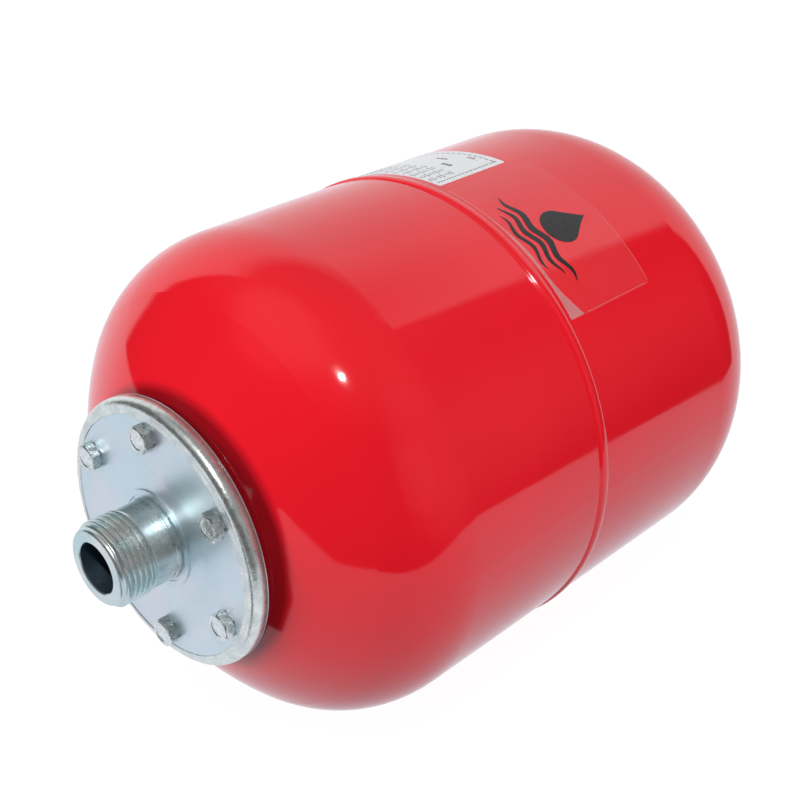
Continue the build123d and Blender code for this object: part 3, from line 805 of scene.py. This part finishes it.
def data_label():
    """White label with a printed frame and broken rows in place of words."""
    outline = rounded_rectangle(LABEL_START, LABEL_WIDTH, LABEL_ANGLES, LABEL_CORNER)
    sheet = curved_sheets(
        "data_label_sheet", [(outline, 46, 24)], BODY_RADIUS, LABEL_THICKNESS,
        MATERIALS["label_paper"],
    )
    attach(sheet, "vessel", "label_paper", "data_label")

    near = LABEL_ANGLES[0] + LABEL_MARGIN
    step = (LABEL_WIDTH - 2 * FRAME_MARGIN) / FRAME_DASHES
    first = LABEL_START + FRAME_MARGIN
    dash = FRAME_DASH_SHARE * step
    dark = [
        (bar(first + step * index, dash, near, FRAME_DASH_LENGTH), 2, 1)
        for index in range(FRAME_DASHES)
    ]
    for height, width, turn, length in LABEL_SIGNS:
        low = LABEL_START + height * MM
        for part in (-1, 0, 1):
            centre = near + turn + arc_degrees(length * MM) * part / 2.4
            dark.append((bar(low, width * MM, centre, 0.3 * length * MM), 2, 1))
    pale = []
    for row in range(LABEL_ROWS):
        low = LABEL_START + ROW_START + ROW_STEP * row
        for word in range(LABEL_WORDS):
            wave = sin(WORD_PHASES[0] * row + WORD_PHASES[1] * word)
            length = WORD_LENGTH + WORD_SPREAD * wave
            centre = near + WORD_START + WORD_STEP * word
            pale.append((bar(low, ROW_HEIGHT, centre, length), 4, 1))
    for index in range(BOW_DASHES):
        low = LABEL_START + BOW_TOP - BOW_DROP * (index - BOW_PEAK) ** 2
        centre = near + BOW_START + BOW_STEP * index
        pale.append((bar(low, BOW_HEIGHT, centre, BOW_LENGTH), 3, 1))
    for name, shapes, tone in (("label_marks", dark, BLACK_INK), ("label_rows", pale, GREY_INK)):
        piece = curved_sheets(name, shapes, BODY_RADIUS + LABEL_THICKNESS, INK_THICKNESS, tone)
        attach(piece, "vessel", "label_paper")


def drop_shape(low, radius, height, centre):
    """Places on an upright water drop: a round belly and sides that sweep up to a point."""
    belly = low + radius
    meeting = asin(radius / (height - radius))

    def place(across, along):
        y = low + height * (1 - cos(pi * along)) / 2
        if y < belly + radius * sin(meeting):
            half = sqrt(max(0.0, radius * radius - (y - belly) ** 2))
        else:
            left = (low + height - y) / (height - radius - radius * sin(meeting))
            half = radius * cos(meeting) * left ** DROP_TAPER
        return y, centre + arc_degrees(max(half, 0.05 * MM)) * (1 - 2 * across)

    return place


def wave_shape(middle, width, length, centre):
    """Places on a wave band with tapered ends, in step with the other bands."""

    def place(across, along):
        body = width * max(0.05, sin(pi * across)) ** WAVE_TAPER
        swell = WAVE_SWELL * sin(FULL_TURN * length * (across - 0.5) / WAVE_LENGTH)
        angle = centre + arc_degrees(length) * (0.5 - across)
        return middle + swell + body * (along - 0.5), angle

    return place


def picture_film():
    """Clear film printed with a water drop over waves, its front edge lifting off the shell."""
    outline = rounded_rectangle(FILM_START, FILM_WIDTH, FILM_ANGLES, FILM_CORNER)
    sheet = curved_sheets(
        "picture_film_sheet", [(outline, 58, 24)], BODY_RADIUS, FILM_THICKNESS,
        MATERIALS["clear_film"],
    )
    attach(sheet, "vessel", "clear_film", "picture_film")

    drop = drop_shape(FILM_START + DROP_BOTTOM, DROP_RADIUS, DROP_HEIGHT, PRINT_ANGLE)
    mark = [(drop, 16, 40)]
    for middle, width, length in WAVES:
        wave = wave_shape(FILM_START + middle * MM, width * MM, length * MM, PRINT_ANGLE)
        mark.append((wave, 72, 2))

    low_angle, high_angle = FILM_ANGLES
    low_inset = low_angle + LOW_EDGE_TURN

    def lifted(across, along):
        angle = high_angle + (low_inset - high_angle) * along
        corner = max(0.0, 1 - (angle - low_angle) / LIFT_CORNER_OVER) ** LIFT_CORNER_CURVE
        swell = smooth_step((LIFT_SWELL_FROM - angle) / LIFT_SWELL_OVER)
        width = LIFT_WIDTH + LIFT_SWELL * swell + LIFT_CORNER_WIDTH * corner
        return FILM_START + LIFT_INSET + width * across, angle

    rear = FILM_START + FILM_WIDTH - REAR_EDGE_INSET
    rear_edge = bar(rear, REAR_EDGE_WIDTH, low_angle + REAR_EDGE_TURN, REAR_EDGE_LENGTH)
    low_reach = FILM_WIDTH - LOW_EDGE_START - LOW_EDGE_END
    low_edge = bar(FILM_START + LOW_EDGE_START, low_reach, low_inset, LOW_EDGE_WIDTH)
    groups = (
        ("picture_print", mark, BLACK_INK),
        ("film_lifted_edge", [(lifted, 2, 60)], LIFTED_FILM),
        ("film_outline", [(rear_edge, 36, 1), (low_edge, 1, 2)], FILM_OUTLINE),
    )
    for name, shapes, material in groups:
        piece = curved_sheets(name, shapes, BODY_RADIUS + FILM_THICKNESS, INK_THICKNESS, material)
        attach(piece, "vessel", "clear_film")


def cover_rim():
    """Rolled rim of the flange cover, standing a little proud of the plate inside it."""
    corner = (COVER_RADIUS - RIM_FILLET, RIM_DROP + RIM_FILLET)
    rows = [
        (RIM_START, RIM_FOOT),
        (RIM_START, RIM_TOP),
        *arc_rows((RIM_START + RIM_BEAD, RIM_TOP), RIM_BEAD, 180, 268, 6),
        *arc_rows(corner, RIM_FILLET + RIM_PROUD / 2, -98, 0, 20),
        (COVER_RADIUS + RIM_PROUD / 2, RIM_BACK - RIM_BACK_BREAK),
        (COVER_RADIUS - EDGE_BREAK, RIM_BACK),
        (COVER_RADIUS - RIM_WALL, RIM_BACK),
        (COVER_RADIUS - RIM_WALL, RIM_DROP + RIM_FILLET),
        (RIM_START + RIM_WALL, RIM_WALL),
    ]
    piece = turned("flange_cover_rim", rows, 192, RIM_ZINC, sharp=50)
    attach(piece, "vessel", "zinc_plate")


def seam_bead():
    """Painted seam: a narrow groove against the front shell, then a low rounded bead."""
    rise = SEAM_RADIUS - BODY_RADIUS
    rows = [
        (BODY_RADIUS - 0.6 * MM, SEAM_START),
        (BODY_RADIUS - 0.35 * MM, SEAM_START + 0.55 * MM),
        (BODY_RADIUS + 0.35 * rise, SEAM_START + 0.95 * MM),
        (BODY_RADIUS + 0.85 * rise, SEAM_START + 1.6 * MM),
        (BODY_RADIUS + rise, SEAM_START + 2.6 * MM),
        (BODY_RADIUS + 0.95 * rise, SEAM_START + 3.8 * MM),
        (BODY_RADIUS + 0.62 * rise, SEAM_START + 4.9 * MM),
        (BODY_RADIUS + 0.1 * rise, SEAM_END - 0.2 * MM),
        (BODY_RADIUS - 0.15 * MM, SEAM_END),
        (BODY_RADIUS - SEAM_DEPTH, SEAM_END),
        (BODY_RADIUS - SEAM_DEPTH, SEAM_START),
    ]
    piece = turned("seam_bead", rows, 256, MATERIALS["red_paint"], sharp=60)
    attach(piece, "vessel", "red_paint", "seam_weld")


# ======================================================================= studio
def by_ray(nodes, links, output, choices, plain):
    """Sends each kind of ray its own shader: choices pairs a Light Path output with a shader."""
    path = nodes.new("ShaderNodeLightPath")
    last = plain
    for ray, shader in choices:
        mix = nodes.new("ShaderNodeMixShader")
        links.new(path.outputs[ray], mix.inputs[0])
        links.new(last, mix.inputs[1])
        links.new(shader, mix.inputs[2])
        last = mix.outputs[0]
    links.new(last, output)


def floor():
    """A plain pale floor. Mirror rays don't see it, and see a table of its own outline instead."""
    skin = Surface("floor_paper", ior=1.3, Specular_IOR_Level=0.0)
    skin.colour(skin.ramp(skin.noise(3, 2), (0.11, 0.11, 0.11), (0.12, 0.12, 0.12)))
    skin.shader.inputs["Roughness"].default_value = 0.9
    skin.shader.inputs["Emission Color"].default_value = (1.0, 1.0, 1.0, 1.0)
    skin.shader.inputs["Emission Strength"].default_value = FLOOR_GLOW
    below = skin.nodes.new("ShaderNodeEmission")
    below.inputs["Strength"].default_value = FLOOR_BOUNCE
    by_ray(
        skin.nodes, skin.links, skin.nodes["Material Output"].inputs["Surface"],
        [("Is Camera Ray", skin.shader.outputs[0])], below.outputs[0],
    )
    built = bmesh.new()
    signs = ((-1, -1), (1, -1), (1, 1), (-1, 1))
    corners = [(x * FLOOR_REACH, y * FLOOR_REACH, FLOOR_LEVEL) for x, y in signs]
    built.faces.new([built.verts.new(corner) for corner in corners])
    wide = finish_mesh("floor", built, skin.material, 30)
    wide.visible_glossy = False

    glow = Surface("table_glow")
    glow.shader.inputs["Base Color"].default_value = (0, 0, 0, 1)
    glow.shader.inputs["Emission Color"].default_value = (0.90, 0.93, 1.0, 1)
    glow.shader.inputs["Emission Strength"].default_value = TABLE_GLOW
    built = bmesh.new()
    level = FLOOR_LEVEL - TABLE_DROP
    built.faces.new([built.verts.new((x, y, level)) for x, y in TABLE_OUTLINE])
    table = finish_mesh("mirrored_table", built, glow.material, 30)
    table.visible_camera = False
    table.visible_diffuse = False
    table.visible_shadow = False


def studio_world():
    """Even pale light for plain surfaces, and for mirror rays a dim room with a white backdrop."""
    world = bpy.data.worlds.new("studio")
    bpy.context.scene.world = world
    world.use_nodes = True
    world.cycles.sampling_method = "NONE"
    nodes, links = world.node_tree.nodes, world.node_tree.links

    def maths(kind, first, second):
        """Two outputs put together."""
        node = nodes.new("ShaderNodeMath")
        node.operation = kind
        links.new(first, node.inputs[0])
        links.new(second, node.inputs[1])
        return node.outputs[0]

    def step(value, start, end, low=0.0, high=1.0):
        """Eases from low to high as value runs from start to end."""
        node = nodes.new("ShaderNodeMapRange")
        node.interpolation_type = "SMOOTHSTEP"
        for socket, number in zip(node.inputs[1:5], (start, end, low, high)):
            socket.default_value = number
        links.new(value, node.inputs[0])
        return node.outputs[0]

    def towards(azimuth, elevation, way):
        """1 where way points to this azimuth and elevation, less the further it is off."""
        node = nodes.new("ShaderNodeVectorMath")
        node.operation = "DOT_PRODUCT"
        a, e = radians(azimuth), radians(elevation)
        node.inputs[1].default_value = (cos(a) * cos(e), sin(a) * cos(e), sin(e))
        links.new(way, node.inputs[0])
        return node.outputs["Value"]

    way = nodes.new("ShaderNodeTexCoord").outputs["Generated"]
    split = nodes.new("ShaderNodeSeparateXYZ")
    links.new(way, split.inputs[0])
    flat = nodes.new("ShaderNodeCombineXYZ")
    links.new(split.outputs[0], flat.inputs[0])
    links.new(split.outputs[1], flat.inputs[1])
    level = nodes.new("ShaderNodeVectorMath")
    level.operation = "NORMALIZE"
    links.new(flat.outputs[0], level.inputs[0])

    def sines(angles):
        return [sin(radians(angle)) for angle in angles]

    def cosines(angles):
        return [cos(radians(angle)) for angle in angles]

    # white backdrop behind the vessel: crisp upright sides, fading above
    height = split.outputs[2]
    backdrop = step(towards(BACKDROP_AZIMUTH, 0, level.outputs[0]), *cosines(BACKDROP_EDGE))
    fading = step(height, *sines(BACKDROP_FADE), BACKDROP_BRIGHTNESS, 0.0)
    backdrop = maths("MULTIPLY", backdrop, fading)
    # dim ceiling, a soft box high to the left and a weak bright patch to the right
    ceiling = step(height, *sines(CEILING_RISE), *CEILING_BRIGHTNESS)
    left_box = step(towards(-112, 60, way), *cosines(LEFT_BOX_EDGE), 0.0, LEFT_BOX_BRIGHTNESS)
    right_patch = step(
        towards(18, 18, way), *cosines(RIGHT_PATCH_EDGE), 0.0, RIGHT_PATCH_BRIGHTNESS
    )
    room = maths("ADD", maths("ADD", ceiling, left_box), right_patch)
    light = maths("MAXIMUM", room, backdrop)

    mirrored = nodes["Background"]
    mirrored.inputs["Color"].default_value = (0.97, 0.985, 1.0, 1)
    links.new(light, mirrored.inputs["Strength"])
    backgrounds = []
    for strength in (DIFFUSE_SKY, SEEN_SKY):
        plain = nodes.new("ShaderNodeBackground")
        plain.inputs["Color"].default_value = (1.0, 1.0, 1.0, 1)
        plain.inputs["Strength"].default_value = strength
        backgrounds.append(plain.outputs[0])
    by_ray(
        nodes, links, nodes["World Output"].inputs["Surface"],
        [("Is Glossy Ray", mirrored.outputs[0]), ("Is Camera Ray", backgrounds[1])], backgrounds[0],
    )


def lamp(name, azimuth, elevation, size, brightness, glossy, target=LAMP_TARGET):
    """A square soft box. Brightness is what it gives a white surface that faces it."""
    a, e = radians(azimuth), radians(elevation)
    away = Vector((cos(a) * cos(e), sin(a) * cos(e), sin(e)))
    data = bpy.data.lights.new(name, "AREA")
    data.size = size
    data.energy = brightness * pi * pi * LAMP_REACH * LAMP_REACH
    made = bpy.data.objects.new(name, data)
    made.location = Vector(target) + away * LAMP_REACH
    made.rotation_euler = away.to_track_quat("Z", "Y").to_euler()
    made.visible_camera = False
    made.visible_glossy = glossy
    bpy.context.scene.collection.objects.link(made)


def camera():
    """The camera, from its yaw, pitch and roll."""
    yaw, pitch, roll = (radians(x) for x in (CAMERA_YAW, CAMERA_PITCH, CAMERA_ROLL))
    back = Vector((sin(yaw) * cos(pitch), -cos(yaw) * cos(pitch), sin(pitch)))
    right = Vector((cos(yaw), sin(yaw), 0.0))
    up = back.cross(right)
    turned_right = right * cos(roll) + up * sin(roll)
    turned_up = up * cos(roll) - right * sin(roll)
    data = bpy.data.cameras.new("camera")
    data.lens = CAMERA_LENS
    data.sensor_width = CAMERA_SENSOR
    data.clip_start = 0.01
    data.clip_end = 50.0
    made = bpy.data.objects.new("camera", data)
    axes = Matrix((turned_right, turned_up, back)).transposed()
    made.matrix_world = Matrix.Translation(CAMERA_PLACE) @ axes.to_4x4()
    bpy.context.scene.collection.objects.link(made)
    bpy.context.scene.camera = made


def carried_nodes():
    """Every CAD node gets its slot's procedural material."""
    for part in frame["record"]["subparts"]:
        node = frame["nodes"][part["node"]]
        for index in range(len(node.material_slots)):
            node.material_slots[index].material = MATERIALS[part["material_slot"]]


carried_nodes()
seam_bead()
cover_rim()
water_nipple()
cover_bolts()
valve_stem()
valve_spring()
data_label()
picture_film()
floor()
studio_world()
lamp("key_light", -45.6, 56, size=0.085, brightness=0.52, glossy=True, target=(0.058, 0.04, 0.073))
lamp("left_light", -128, 8, size=0.35, brightness=0.52, glossy=False, target=(0.0, 0.0, 0.0))
lamp("right_light", -5, 12, size=1.0, brightness=0.27, glossy=False)
lamp("back_light", 131, 10, size=1.5, brightness=0.34, glossy=False, target=(0.0, 0.14, 0.0))
camera()
bpy.context.scene.view_settings.view_transform = "Standard"
